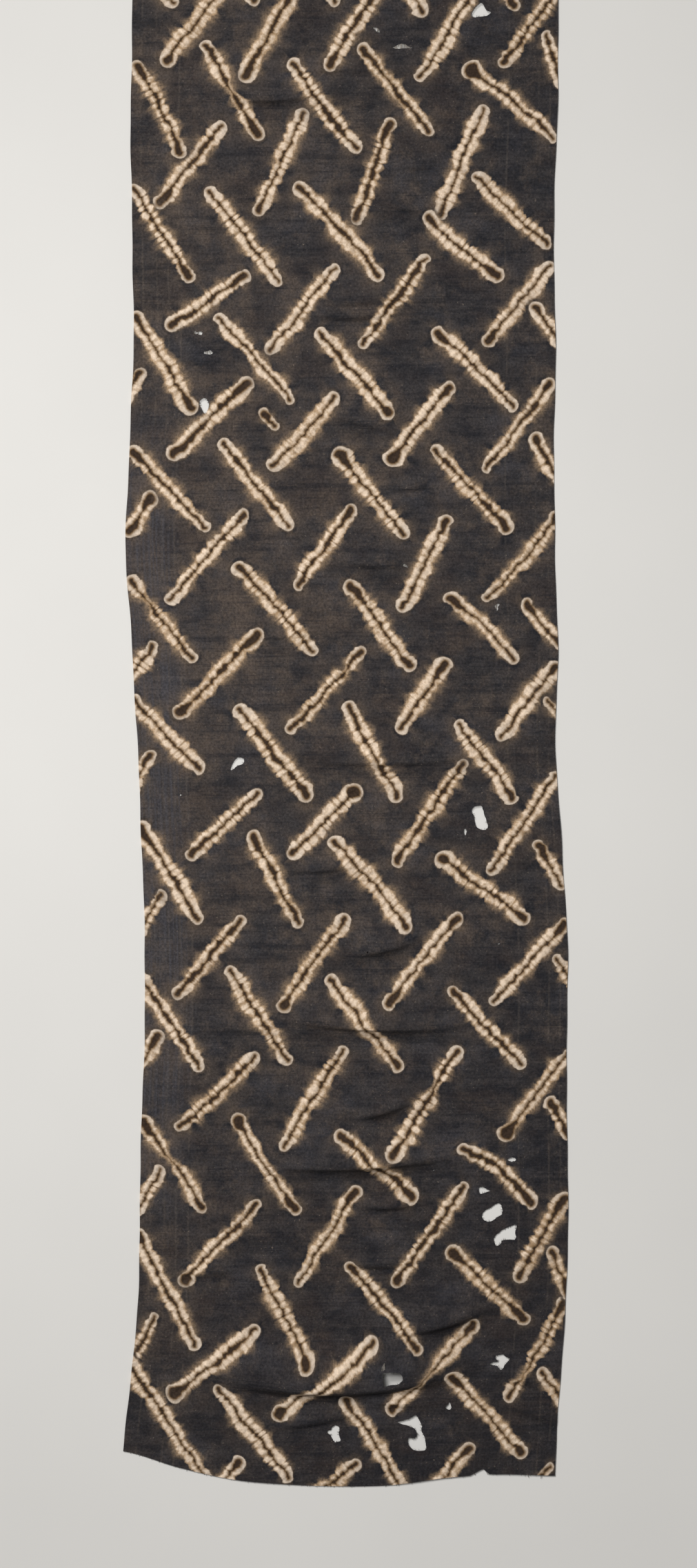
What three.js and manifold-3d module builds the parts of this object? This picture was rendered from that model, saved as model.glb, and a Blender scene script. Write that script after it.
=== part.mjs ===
// A long strip of stitch-resist dyed cloth, woven in one width, lying face up on a flat surface.
// Millimetres. +X runs across the cloth, +Y along it from the worn end to the plain end, +Z up.
// The underside rests on z = 0. Soft folds lift off the surface, and worn holes go right through.

import * as THREE from "three";
import { mergeVertices } from "three/addons/utils/BufferGeometryUtils.js";
import Module from "manifold-3d";

const wasm = await Module();
wasm.setup();

// Driving dimensions
const CLOTH_LENGTH = 2190;
const CLOTH_THICKNESS = 1.2;
const STEPS_ACROSS = 16;
const STEPS_ALONG = 124;

// The worn end is cut in a curve: its height above the lowest point, at even steps from left to right.
const END_RISE = [49, 27, 10, 3, 0, 2, 12, 17, 15];
const END_RISE_FADE = 0.25;

// Where the two selvedges lie from the centre line, at even steps from the worn end to the plain end.
const SELVEDGES = [
  { left: -311, right: 291 },
  { left: -297, right: 299 },
  { left: -288, right: 308 },
  { left: -287, right: 309 },
  { left: -282, right: 307 },
  { left: -280, right: 309 },
  { left: -284, right: 302 },
  { left: -290, right: 292 },
  { left: -298, right: 295 },
  { left: -307, right: 291 },
  { left: -301, right: 290 },
  { left: -296, right: 292 },
  { left: -298, right: 289 },
  { left: -300, right: 294 },
  { left: -298, right: 296 },
  { left: -296, right: 296 },
];

// Folds that run across the cloth. x, y is the middle of the crest and reach half its length.
// slope tips the crest, bow bends its ends up, and lean pushes the crest towards the worn end.
const FOLDS = [
  { x: -10, y: 152, reach: 235, slope: 0.02, bow: 26, height: 15, above: 62, below: 30, lean: 1.1 },
  { x: 134, y: 236, reach: 105, slope: 0.28, bow: 8, height: 7, above: 52, below: 32, lean: 0.6 },
  { x: 26, y: 458, reach: 205, slope: 0.06, bow: 10, height: 8, above: 56, below: 32, lean: 0.7 },
  { x: 54, y: 532, reach: 90, slope: 0.22, bow: 6, height: 5, above: 44, below: 30, lean: 0.4 },
  { x: 32, y: 650, reach: 200, slope: -0.03, bow: 8, height: 8, above: 56, below: 34, lean: 0.6 },
  { x: 50, y: 758, reach: 100, slope: 0.2, bow: 10, height: 6, above: 46, below: 30, lean: 0.6 },
  { x: -38, y: 868, reach: 100, slope: 0.05, bow: 6, height: 5, above: 44, below: 32, lean: 0.4 },
  { x: 52, y: 1016, reach: 200, slope: 0, bow: 6, height: 5, above: 46, below: 30, lean: 0.4 },
  { x: 30, y: 1294, reach: 100, slope: -0.08, bow: 6, height: 5, above: 48, below: 34, lean: 0.4 },
  { x: 20, y: 1490, reach: 130, slope: -0.15, bow: 8, height: 6, above: 52, below: 34, lean: 0.5 },
  { x: 14, y: 1652, reach: 130, slope: 0.02, bow: 6, height: 6, above: 46, below: 32, lean: 0.5 },
  { x: 82, y: 1784, reach: 90, slope: -0.2, bow: 8, height: 5, above: 44, below: 30, lean: 0.4 },
  { x: -60, y: 1950, reach: 190, slope: -0.02, bow: 8, height: 6, above: 50, below: 32, lean: 0.5 },
];

// Worn holes: middle, size across and along the cloth, number of corners, and how far they are turned.
// The last one is a bite out of the worn end.
const HOLES = [
  { x: 189, y: 2058, width: 25, height: 17, corners: 3, turn: 0.5 },
  { x: 79, y: 2009, width: 30, height: 6, corners: 2, turn: 0.1 },
  { x: -206, y: 1609, width: 10, height: 5, corners: 2, turn: -0.2 },
  { x: -192, y: 1582, width: 11, height: 5, corners: 2, turn: 0 },
  { x: -198, y: 1507, width: 14, height: 21, corners: 2, turn: 0.3 },
  { x: -150, y: 1009, width: 18, height: 15, corners: 3, turn: 0.2 },
  { x: 187, y: 931, width: 20, height: 31, corners: 4, turn: 0.9 },
  { x: 192, y: 413, width: 13, height: 7, corners: 3, turn: 0 },
  { x: 204, y: 381, width: 27, height: 22, corners: 4, turn: 0.4 },
  { x: 222, y: 351, width: 31, height: 26, corners: 3, turn: 0.7 },
  { x: 215, y: 174, width: 21, height: 16, corners: 3, turn: 0.2 },
  { x: 66, y: 150, width: 30, height: 14, corners: 4, turn: 0.8 },
  { x: 91, y: 88, width: 28, height: 20, corners: 3, turn: 0.3 },
  { x: 100, y: 64, width: 24, height: 25, corners: 4, turn: 0.6 },
  { x: -16, y: 73, width: 16, height: 20, corners: 3, turn: 0.9 },
  { x: 189, y: 14, width: 24, height: 14, corners: 2, turn: 0 },
];
const HOLE_POINTS = 14;
const HOLE_CORNER_REACH = 0.16;
const HOLE_RAG = 0.07;
const CUTTER_FLOOR = -5;
const CUTTER_HEIGHT = 40;

const CLOTH_COLOUR = 0x3f3a38;
const CLOTH_ROUGHNESS = 0.9;

// A value from an evenly spaced row of values, joined by a smooth curve. share runs from 0 to 1.
function smoothRow(values, share) {
  const curve = new THREE.SplineCurve(values.map((value, i) => new THREE.Vector2(i, value)));
  return curve.getPoint(share).y;
}

// The cross-section of a fold: 1 on the crest, falling softly to 0 at the foot.
function softStep(distance) {
  const near = Math.max(0, 1 - distance * distance);
  return near * near;
}

// How far one fold lifts a point of the flat cloth.
function foldLift(fold, x, y) {
  const along = (x - fold.x) / fold.reach;
  const across = y - fold.y - fold.slope * (x - fold.x) - fold.bow * along * along;
  const side = across > 0 ? fold.above : fold.below;
  return fold.height * softStep(along) * softStep(across / side);
}

// Where a point of the cloth lies. across and along run from 0 to 1 over the flat strip.
function clothPoint(across, along) {
  const fade = Math.max(0, 1 - along / END_RISE_FADE);
  const left = smoothRow(SELVEDGES.map((row) => row.left), along);
  const right = smoothRow(SELVEDGES.map((row) => row.right), along);
  const x = THREE.MathUtils.lerp(left, right, across);
  const y = along * CLOTH_LENGTH + smoothRow(END_RISE, across) * fade * fade;
  const lifts = FOLDS.map((fold) => ({ lift: foldLift(fold, x, y), lean: fold.lean }));
  const z = lifts.reduce((sum, { lift }) => sum + lift, 0);
  const slip = lifts.reduce((sum, { lift, lean }) => sum + lift * lean, 0);
  return new THREE.Vector3(x, y - slip, z);
}

// One closed sheet: an upper and a lower grid of the same points, a thickness apart, and a rim round both.
function sheetGeometry() {
  const rows = STEPS_ALONG + 1;
  const columns = STEPS_ACROSS + 1;
  const layer = rows * columns;
  const positions = [];
  for (const lift of [CLOTH_THICKNESS, 0]) {
    for (let j = 0; j < rows; j++) {
      for (let i = 0; i < columns; i++) {
        const point = clothPoint(i / STEPS_ACROSS, j / STEPS_ALONG);
        positions.push(point.x, point.y, point.z + lift);
      }
    }
  }
  const index = [];
  const quad = (a, b, c, d) => index.push(a, b, c, a, c, d);
  for (let j = 0; j < STEPS_ALONG; j++) {
    for (let i = 0; i < STEPS_ACROSS; i++) {
      const a = j * columns + i;
      quad(a, a + 1, a + columns + 1, a + columns);
      quad(layer + a, layer + a + columns, layer + a + columns + 1, layer + a + 1);
    }
  }
  for (const edge of rimLoop(rows, columns)) {
    quad(edge.to, edge.from, layer + edge.from, layer + edge.to);
  }
  const geometry = new THREE.BufferGeometry();
  geometry.setAttribute("position", new THREE.Float32BufferAttribute(positions, 3));
  geometry.setIndex(index);
  return geometry;
}

// The edges of the grid, in order anticlockwise seen from above.
function rimLoop(rows, columns) {
  const loop = [];
  for (let i = 0; i < columns - 1; i++) loop.push(i);
  for (let j = 0; j < rows - 1; j++) loop.push(j * columns + columns - 1);
  for (let i = columns - 1; i > 0; i--) loop.push((rows - 1) * columns + i);
  for (let j = rows - 1; j > 0; j--) loop.push(j * columns);
  return loop.map((from, k) => ({ from, to: loop[(k + 1) % loop.length] }));
}

// The ragged outline of a worn hole: an ellipse drawn out at its corners, with a finer waver on it.
function holeCutter(hole) {
  const outline = [];
  for (let k = 0; k < HOLE_POINTS; k++) {
    const angle = (k / HOLE_POINTS) * Math.PI * 2;
    const corner = HOLE_CORNER_REACH * Math.cos(hole.corners * (angle - hole.turn));
    const rag = HOLE_RAG * Math.sin((hole.corners + 3) * angle + hole.x);
    const size = 1 + corner + rag;
    outline.push(
      new THREE.Vector2((hole.width / 2) * size * Math.cos(angle), (hole.height / 2) * size * Math.sin(angle)),
    );
  }
  const cutter = new THREE.ExtrudeGeometry(new THREE.Shape(outline), { depth: CUTTER_HEIGHT, bevelEnabled: false });
  return cutter.translate(hole.x, hole.y, CUTTER_FLOOR);
}

// A closed geometry as a solid, with the vertices that its faces share merged.
function solidOf(geometry) {
  const bare = geometry.clone();
  bare.deleteAttribute("normal");
  bare.deleteAttribute("uv");
  const merged = mergeVertices(bare, 1e-3);
  return new wasm.Manifold(
    new wasm.Mesh({
      numProp: 3,
      vertProperties: merged.getAttribute("position").array,
      triVerts: new Uint32Array(merged.index.array),
    }),
  );
}

// A solid's triangles as a geometry.
function geometryOf(solid) {
  const mesh = solid.getMesh();
  const geometry = new THREE.BufferGeometry();
  geometry.setAttribute("position", new THREE.BufferAttribute(mesh.vertProperties, 3));
  geometry.setIndex(new THREE.BufferAttribute(mesh.triVerts, 1));
  geometry.computeVertexNormals();
  return geometry;
}

// The cloth, centred on the middle of its outline.
function makeCloth() {
  const worn = HOLES.reduce((sheet, hole) => sheet.subtract(solidOf(holeCutter(hole))), solidOf(sheetGeometry()));
  const geometry = geometryOf(worn);
  const material = new THREE.MeshStandardMaterial({ color: CLOTH_COLOUR, roughness: CLOTH_ROUGHNESS, metalness: 0 });
  const cloth = new THREE.Mesh(geometry, material);
  cloth.name = "cloth";
  geometry.computeBoundingBox();
  const centre = geometry.boundingBox.getCenter(new THREE.Vector3());
  cloth.position.set(-centre.x, -centre.y, 0);
  return cloth;
}

const part = new THREE.Group();
part.add(makeCloth());

export default part;
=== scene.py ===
"""A long strip of stitch-resist dyed cloth, woven in one width and lying face up in soft cross folds.

Shapes are worked out in millimetres over the flat strip: x runs across it from its centre line and y along it
from the worn end. Meshes are in metres, in the frame of the solid that the cloth stands for.
"""

import bpy
import numpy as np
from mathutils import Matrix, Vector
from mathutils.geometry import delaunay_2d_cdt


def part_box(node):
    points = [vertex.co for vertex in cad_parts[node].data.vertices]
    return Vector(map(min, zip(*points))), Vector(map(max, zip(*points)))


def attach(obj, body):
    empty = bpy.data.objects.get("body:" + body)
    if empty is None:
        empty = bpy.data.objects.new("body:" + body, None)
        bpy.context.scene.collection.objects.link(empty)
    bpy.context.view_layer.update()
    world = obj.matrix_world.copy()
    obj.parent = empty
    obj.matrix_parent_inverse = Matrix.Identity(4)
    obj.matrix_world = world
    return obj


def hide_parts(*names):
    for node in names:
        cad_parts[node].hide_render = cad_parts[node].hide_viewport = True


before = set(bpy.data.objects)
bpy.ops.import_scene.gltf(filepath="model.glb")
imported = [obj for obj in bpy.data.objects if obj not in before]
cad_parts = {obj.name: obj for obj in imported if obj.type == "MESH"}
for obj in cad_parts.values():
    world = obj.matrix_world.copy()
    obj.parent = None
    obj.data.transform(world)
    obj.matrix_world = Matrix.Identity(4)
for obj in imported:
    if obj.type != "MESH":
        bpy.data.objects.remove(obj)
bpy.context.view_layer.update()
CLOTH_LOW, CLOTH_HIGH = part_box("cloth")

bl_info = {
    "name": "Stitch-resist dyed cloth",
    "version": (1, 0, 0),
    "blender": (4, 5, 0),
    "location": "3D View > Sidebar > Dyed cloth",
    "description": "Weaves, dyes, wears and lays out a strip of stitch-resist cloth",
    "category": "Add Mesh",
}

MM = 0.001

# The worn end is cut in a curve: its height above the lowest point, at even steps from left to right, and the
# share of the cloth's length over which the grid's rows straighten out.
END_RISE = (49, 27, 10, 3, 0, 2, 12, 17, 15)
END_RISE_FADE = 0.25

# Where the two selvedges lie from the centre line, at even steps from the worn end to the plain end.
LEFT_SELVEDGE = (
    -311, -297, -288, -287, -282, -280, -284, -290, -298, -307, -301, -296, -298, -300, -298, -296,
)
RIGHT_SELVEDGE = (291, 299, 308, 309, 307, 309, 302, 292, 295, 291, 290, 292, 289, 294, 296, 296)

# Usual width of the cloth between its selvedges.
CUT_WIDTH = 594

# A bite torn out of the worn end.
BITE = {"x": 189, "half_width": 13, "depth": 9, "reach": 26}

# Folds and creases that run across the cloth. x, y is the middle of the crest and reach half its length.
# slope tips the crest, bow bends its ends up, and lean pushes the crest towards the worn end.
FOLD_COLUMNS = ("x", "y", "reach", "slope", "bow", "height", "above", "below", "lean")
FOLDS = (
    (-10, 152, 235, 0.02, 26, 15, 62, 30, 1.1),
    (134, 236, 105, 0.28, 8, 7, 52, 32, 0.6),
    (26, 458, 205, 0.06, 10, 8, 56, 32, 0.7),
    (54, 532, 90, 0.22, 6, 5, 44, 30, 0.4),
    (32, 650, 200, -0.03, 8, 8, 56, 34, 0.6),
    (50, 758, 100, 0.2, 10, 6, 46, 30, 0.6),
    (-38, 868, 100, 0.05, 6, 5, 44, 32, 0.4),
    (52, 1016, 200, 0, 6, 5, 46, 30, 0.4),
    (30, 1294, 100, -0.08, 6, 5, 48, 34, 0.4),
    (20, 1490, 130, -0.15, 8, 6, 52, 34, 0.5),
    (14, 1652, 130, 0.02, 6, 6, 46, 32, 0.5),
    (82, 1784, 90, -0.2, 8, 5, 44, 30, 0.4),
    (-60, 1950, 190, -0.02, 8, 6, 50, 32, 0.5),
)

# Finer creases, in the same columns, most of them steep on the side towards the worn end.
CREASES = (
    (-10, 1977, 150, -0.03, 5, 3.8, 17, 7, 0.5),
    (-104, 1936, 66, 0.03, 4, 4.8, 20, 7, 0.6),
    (94, 1842, 44, -0.1, 4, 3.6, 16, 7, 0.5),
    (80, 1786, 48, -0.2, 4, 3.6, 16, 7, 0.5),
    (14, 1655, 60, 0.03, 3, 3.4, 15, 7, 0.5),
    (12, 1633, 66, 0.04, 3, 3.2, 12, 7, 0.5),
    (20, 1486, 56, -0.3, 4, 3.6, 16, 7, 0.5),
    (22, 1450, 195, 0, 3, 2.1, 7, 7, 0.2),
    (89, 1394, 48, 0.08, 4, 3.6, 16, 7, 0.5),
    (30, 1288, 52, -0.1, 4, 3.4, 16, 7, 0.5),
    (58, 1012, 140, 0.01, 4, 3.4, 14, 7, 0.4),
    (-24, 1023, 205, 0.01, 2, 1.8, 7, 7, 0.2),
    (-38, 863, 56, 0.04, 4, 3.6, 16, 7, 0.5),
    (52, 752, 60, 0.24, 4, 3.8, 16, 7, 0.5),
    (34, 645, 150, -0.05, 5, 5, 18, 8, 0.5),
    (54, 526, 50, 0.34, 4, 4.5, 16, 7, 0.5),
    (26, 452, 150, 0.06, 5, 5, 18, 8, 0.5),
    (58, 391, 58, 0.04, 4, 4.5, 16, 7, 0.5),
    (40, 310, 50, -0.05, 4, 4.5, 16, 7, 0.5),
    (136, 230, 66, 0.28, 4, 5, 18, 8, 0.5),
    (-46, 92, 84, 0.16, 6, 4.5, 20, 10, 0.5),
    (60, 118, 70, -0.12, 6, 3.8, 16, 10, 0.4),
    (258, 104, 50, -0.42, 5, 4, 16, 10, 0.4),
    (240, 150, 46, -0.3, 4, 3.2, 14, 8, 0.3),
    (-190, 300, 60, 0.1, 4, 3.1, 20, 11, 0.3),
    (-150, 640, 70, -0.08, 5, 2.8, 18, 11, 0.3),
    (150, 905, 56, -0.15, 4, 2.3, 16, 11, 0.3),
    (-70, 1190, 80, 0.1, 5, 2.5, 20, 11, 0.3),
    (150, 1560, 60, 0.12, 4, 2.5, 18, 11, 0.3),
    (-200, 1760, 60, -0.1, 4, 2.3, 18, 11, 0.3),
)

# Worn holes: the middle, x and y, and the corners round it, counted from the middle.
PIN_HOLE = ((-2, 0), (0, -1), (2, 0), (0, 1))
HOLES = (
    (189, 2058, ((-2, 11), (-10, 4), (-15, -5), (-11, -9), (-4, -8), (7, -7), (13, -2), (7, 1), (3, 8))),
    (79, 2009, ((-14, -2), (-8, -4), (0, -3), (8, -3), (14, -3), (8, 0), (2, 3), (-4, 3), (-10, 0))),
    (42, 2032, ((-5, 3), (-2, 0), (1, -3), (5, -4), (5, -1), (2, 2), (-1, 3))),
    (-206, 1609, ((-6, 0), (-4, -2), (-1, -1), (2, -3), (5, -3), (6, 0), (5, 2), (1, 2), (-2, 1), (-5, 3))),
    (-192, 1582, ((-7, -1), (-3, -3), (3, -3), (7, -1), (5, 1), (2, 3), (-2, 1), (-5, 1))),
    (-198, 1507, ((-1, 11), (-5, 9), (-7, 4), (-5, -1), (-2, -7), (2, -11), (5, -7), (7, 0), (6, 6),
                  (3, 10))),
    (-151, 1010, ((-10, -11), (-5, -9), (0, -5), (6, -3), (9, 1), (9, 5), (6, 6), (0, 7), (-4, 3), (-8, -3))),
    (186, 931, ((-10, 15), (-11, 10), (-8, 5), (-7, -3), (-4, -11), (3, -15), (9, -15), (12, -10), (10, -3),
                (7, 6), (5, 13), (3, 18), (-5, 18))),
    (166, 914, ((0, 4), (-2, 1), (-2, -3), (0, -5), (2, -3), (2, 2))),
    (190, 414, ((-5, 2), (-4, -4), (-1, -6), (5, -4), (11, -2), (6, 1), (1, 4), (-2, 4))),
    (204, 382, ((7, 13), (2, 10), (-4, 6), (-10, 3), (-14, -2), (-14, -8), (-9, -12), (-4, -13), (2, -10),
                (8, -6), (13, -3), (14, 2), (13, 8), (11, 12))),
    (222, 350, ((14, 15), (8, 13), (2, 11), (-5, 7), (-10, 3), (-15, -2), (-16, -8), (-13, -14), (-10, -14),
                (-6, -11), (-4, -7), (3, -6), (13, -6), (15, -2), (14, 5), (16, 11))),
    (231, 456, ((-6, 0), (-3, -3), (2, -3), (6, -1), (5, 2), (0, 3), (-4, 2))),
    (215, 175, ((-7, 7), (-6, 3), (-3, 0), (-10, -1), (-15, -3), (-12, -5), (-6, -6), (-2, -9), (1, -12),
                (4, -10), (7, -5), (13, 2), (12, 4), (7, 6), (4, 9), (-2, 9))),
    (62, 165, ((-10, 7), (-11, 0), (-9, -9), (0, -8), (10, -8), (16, -4), (17, 0), (12, 6), (4, 7))),
    (52, 178, ((1, 5), (-1, 2), (-3, -3), (1, -3), (3, 1), (3, 4))),
    (91, 89, ((-20, 1), (-14, -2), (-6, -4), (0, -6), (5, -9), (7, -13), (8, -16), (5, -21), (-4, -21),
              (-5, -26), (-3, -32), (2, -37), (7, -39), (17, -39), (21, -36), (20, -28), (19, -21),
              (16, -15), (14, -9), (15, -5), (13, -1), (10, 6), (7, 10), (4, 10), (0, 7), (-6, 5), (-13, 3))),
    (143, 112, ((1, 6), (-1, 2), (-4, -1), (-4, -3), (-1, -5), (2, -5), (4, -2), (3, 2))),
    (-17, 74, ((2, 11), (-2, 9), (-4, 5), (-8, 4), (-9, 1), (-7, -1), (-4, -3), (-2, -8), (1, -12), (5, -12),
               (9, -11), (9, -7), (7, -1), (8, 6), (6, 10))),
    (28, 117, PIN_HOLE),
    (122, 442, PIN_HOLE),
    (30, 750, ((-1, 0), (0, -2), (1, 0), (0, 1))),
    (213, 757, PIN_HOLE),
    (-231, 964, ((-1, 0), (0, -1), (2, 0), (0, 2))),
    (82, 1285, ((-4, 1), (-1, -1), (3, -3), (4, -1), (1, 2), (-2, 3))),
    (210, 1227, ((-3, 1), (-1, -3), (0, -6), (2, -4), (2, 0), (4, 3), (1, 4))),
)

# How ragged the holes are, and how far from their rings the grid is cut away.
HOLE_SEED = 11
HOLE_RAG = 0.22
HOLE_MARGIN = 1.2

# Loose yarns: the share of a ring's points that fray and the smallest hole that does, how far each yarn is
# rooted in the cloth, how many hang from the worn end, the rings and sides of each one's tube, how high it
# starts and how far it sinks as shares of the cloth's thickness, and its taper.
YARN_SEED = 23
FRAYED_SHARE = 0.4
LEAST_FRAYED = 3
YARN_ROOT = 2.0
END_YARNS = 90
YARN_RINGS = 6
YARN_SIDES = 5
YARN_LIFT = 0.62
YARN_SINK = 0.3
YARN_TAPER = 0.45

# Holes that worn warp yarns still cross: the middle, x and y, the width, half the height, and how many yarns.
CROSSED_HOLES = (
    (79, 2008, 26, 5, 40),
    (42, 2031, 9, 5, 10),
    (-192, 1582, 12, 4, 7),
    (-206, 1609, 11, 4, 5),
    (52, 178, 5, 5, 9),
    (82, 1285, 5, 2, 5),
    (210, 1227, 4, 4, 5),
)

# The stitched dashes, course by course from the plain end down. Courses lean to the right and to the left by
# turns. A dash is given by its top, x and y, and its foot, x and y. Some also have how far the middle bows to
# the side, and how far along the dash is nipped in, from -1 at the foot to 1 at the top.
DASH_COLUMNS = ("x_top", "y_top", "x_foot", "y_foot", "bow", "nip")
FALLING_COURSES = (
    ((-332, 2195, -238, 2064), (-214, 2198, -124, 2067), (-104, 2195, -12, 2066, 3),
     (14, 2188, 112, 2052), (150, 2192, 240, 2060), (256, 2170, 312, 2080)),
    ((-294, 1988, -227, 1854, 2), (-199, 2015, -119, 1878, 0, 0.02), (-78, 1990, 17, 1860),
     (19, 2011, 120, 1885), (165, 1982, 292, 1876, 4), (279, 2030, 303, 1948)),
    ((-300, 1815, -214, 1681), (-194, 1811, -90, 1677), (-70, 1818, 51, 1685, 2),
     (109, 1775, 219, 1685, -4), (177, 1830, 284, 1728)),
    ((-296, 1638, -211, 1497), (-180, 1635, -73, 1513), (-40, 1614, 64, 1492),
     (121, 1613, 237, 1502, 3), (259, 1650, 306, 1584), (-119, 1502, -95, 1475)),
    ((-302, 1449, -192, 1333), (-174, 1460, -76, 1335), (-14, 1448, 86, 1324, -2),
     (121, 1451, 230, 1331), (263, 1470, 308, 1394, -4)),
    ((-304, 1268, -210, 1151, 0, 0.42), (-155, 1287, -43, 1160, 3), (1, 1263, 94, 1139),
     (140, 1245, 238, 1149, 4), (248, 1237, 308, 1170, -5)),
    ((-299, 1102, -201, 995), (-151, 1090, -51, 956), (-1, 1093, 75, 956), (154, 1067, 238, 956),
     (279, 1101, 312, 1058)),
    ((-290, 926, -204, 785), (-132, 914, -64, 780), (-22, 904, 89, 777, 4), (127, 881, 255, 788),
     (264, 900, 303, 833)),
    ((-290, 716, -201, 580), (-164, 725, -80, 588), (-24, 713, 77, 580), (144, 696, 248, 584),
     (290, 740, 330, 676)),
    ((-288, 516, -197, 383, 2, 0.1), (-155, 519, -66, 380, -3), (-13, 497, 98, 398, 2),
     (156, 475, 264, 390, 9), (281, 542, 316, 485)),
    ((-294, 358, -208, 192), (-122, 308, -51, 171), (1, 312, 105, 192), (142, 333, 254, 228),
     (285, 334, 316, 262, -3)),
    ((-312, 186, -190, 4), (-182, 142, -76, 8), (-4, 126, 86, -12), (140, 161, 250, 42),
     (271, 165, 312, 104)),
)
RISING_COURSES = (
    ((-166, 2098, -255, 1982), (-66, 2098, -145, 1961), (48, 2096, -27, 1977),
     (184, 2098, 100, 1961, 2), (300, 2094, 216, 1980)),
    ((-170, 1902, -264, 1784), (-57, 1921, -125, 1773), (64, 1908, 12, 1761), (194, 1926, 129, 1768)),
    ((-136, 1694, -251, 1616, 3), (-14, 1705, -111, 1581, 2), (113, 1718, 21, 1588),
     (289, 1706, 192, 1592)),
    ((-283, 1559, -312, 1506), (-132, 1545, -247, 1434), (-12, 1525, -107, 1419, 3),
     (149, 1539, 57, 1426), (290, 1543, 193, 1415)),
    ((-268, 1387, -308, 1326, 3), (-138, 1361, -249, 1232), (12, 1368, -71, 1252),
     (143, 1354, 76, 1220), (296, 1358, 192, 1236, 6)),
    ((-267, 1178, -312, 1112), (-118, 1195, -237, 1072), (25, 1170, -82, 1052, 2, 0.5),
     (143, 1154, 73, 1052), (297, 1149, 213, 1041)),
    ((-269, 1026, -298, 964, -3), (-118, 970, -222, 877), (20, 976, -80, 879), (167, 1014, 67, 866),
     (296, 995, 199, 854)),
    ((-255, 831, -292, 766), (-143, 795, -239, 681), (1, 798, -92, 665), (160, 799, 55, 670),
     (310, 790, 203, 672)),
    ((-258, 635, -298, 574), (-123, 604, -237, 498, 4), (-1, 613, -89, 471),
     (159, 613, 63, 459, 0, 0.28), (312, 607, 216, 484)),
    ((-258, 447, -292, 378), (-120, 398, -231, 281), (18, 418, -69, 279), (168, 423, 66, 279),
     (308, 410, 237, 286)),
    ((-265, 241, -308, 166, 3), (-122, 223, -247, 122), (43, 207, -101, 95),
     (182, 234, 59, 101, 0, -0.14), (306, 262, 224, 119, 3, -0.45)),
    ((-145, 40, -190, -22), (20, 34, -62, -26), (176, 60, 112, -18), (288, 31, 266, 6)),
)

# A dash without a bow or a nip: straight, and with its nip far past its end.
PLAIN_DASH = (0, 9)

# The two leans of the dashes: the courses, and the number of the first dash.
LEANS = {"rising": (RISING_COURSES, 1), "falling": (FALLING_COURSES, 101)}

# Pale warp yarns near the selvedges: distance from the centre line, and how strongly they show.
PALE_YARNS = ((-283, 0.12), (-263, 0.1), (-247, 0.12), (-230, 0.14), (287, 0.1), (271, 0.12), (229, 0.11))

# Worn brown patches, and patches of deep dye below nought: x, y, radius and strength.
STAINS = (
    (-34, 1859, 62, 1.0),
    (-165, 1385, 52, 1.1),
    (-150, 1195, 54, 1.1),
    (-90, 1180, 46, 0.8),
    (-114, 1112, 40, 0.8),
    (-199, 1741, 40, 0.6),
    (214, 1690, 46, 0.6),
    (-194, 26, 44, 1.2),
    (-144, 50, 36, 1.0),
    (-255, 174, 36, 0.9),
    (238, 31, 36, 0.9),
    (-205, 1585, 62, -0.9),
    (-104, 1573, 40, -0.8),
    (73, 1866, 36, -0.6),
    (100, 1028, 52, -0.9),
    (-150, 598, 62, -1.0),
)

# Dash ends drawn into a wide loop: the end's x and y, and how much wider the loop is than the dash.
LOOPED_ENDS = (
    (165, 1982, 6), (-255, 1982, 2), (-40, 1614, 2), (64, 1492, 4), (263, 1470, 2), (-14, 1448, 2),
    (57, 1426, 3), (-268, 1387, 2), (-237, 1072, 2), (20, 976, 5), (127, 881, 2), (-92, 665, 2),
    (159, 613, 3), (-155, 519, 3), (216, 484, 4), (63, 459, 4), (-294, 358, 4), (142, 333, 2),
    (-231, 281, 3), (66, 279, 2), (-51, 171, 3), (-247, 122, 4), (59, 101, 2), (-101, 95, 4),
    (250, 42, 2), (-145, 40, 2), (-62, -26, 2),
)

# Nipped dashes with a long or a short neck: the foot's x and y, and how quickly the dash widens from its nip.
NECKS = ((59, 101, 0.6), (-82, 1052, 2.4))


DYE = {"subtype": "COLOR", "size": 3, "min": 0, "max": 1}


class ClothSizes(bpy.types.PropertyGroup):
    """Sizes of the woven panel."""

    length: bpy.props.FloatProperty(
        name="Length",
        description="Length of the cloth from the worn end to the plain end",
        default=CLOTH_HIGH.y - CLOTH_LOW.y,
        min=0.5,
        unit="LENGTH",
    )
    thickness: bpy.props.FloatProperty(
        name="Thickness",
        description="Thickness of the woven sheet",
        default=0.0012,
        min=0.0005,
        unit="LENGTH",
    )
    yarn_pitch: bpy.props.FloatProperty(
        name="Yarn pitch",
        description="Distance between neighbouring yarns of the weave",
        default=0.0011,
        min=0.0003,
        unit="LENGTH",
    )
    loose_yarn_thickness: bpy.props.FloatProperty(
        name="Loose yarn thickness",
        description="Thickness of the loose yarns at the torn edges",
        default=0.0006,
        min=0.0002,
        unit="LENGTH",
    )
    steps_across: bpy.props.IntProperty(
        name="Steps across", description="Grid steps across the cloth", default=66, min=8
    )
    steps_along: bpy.props.IntProperty(
        name="Steps along", description="Grid steps along the cloth", default=680, min=8
    )


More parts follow.
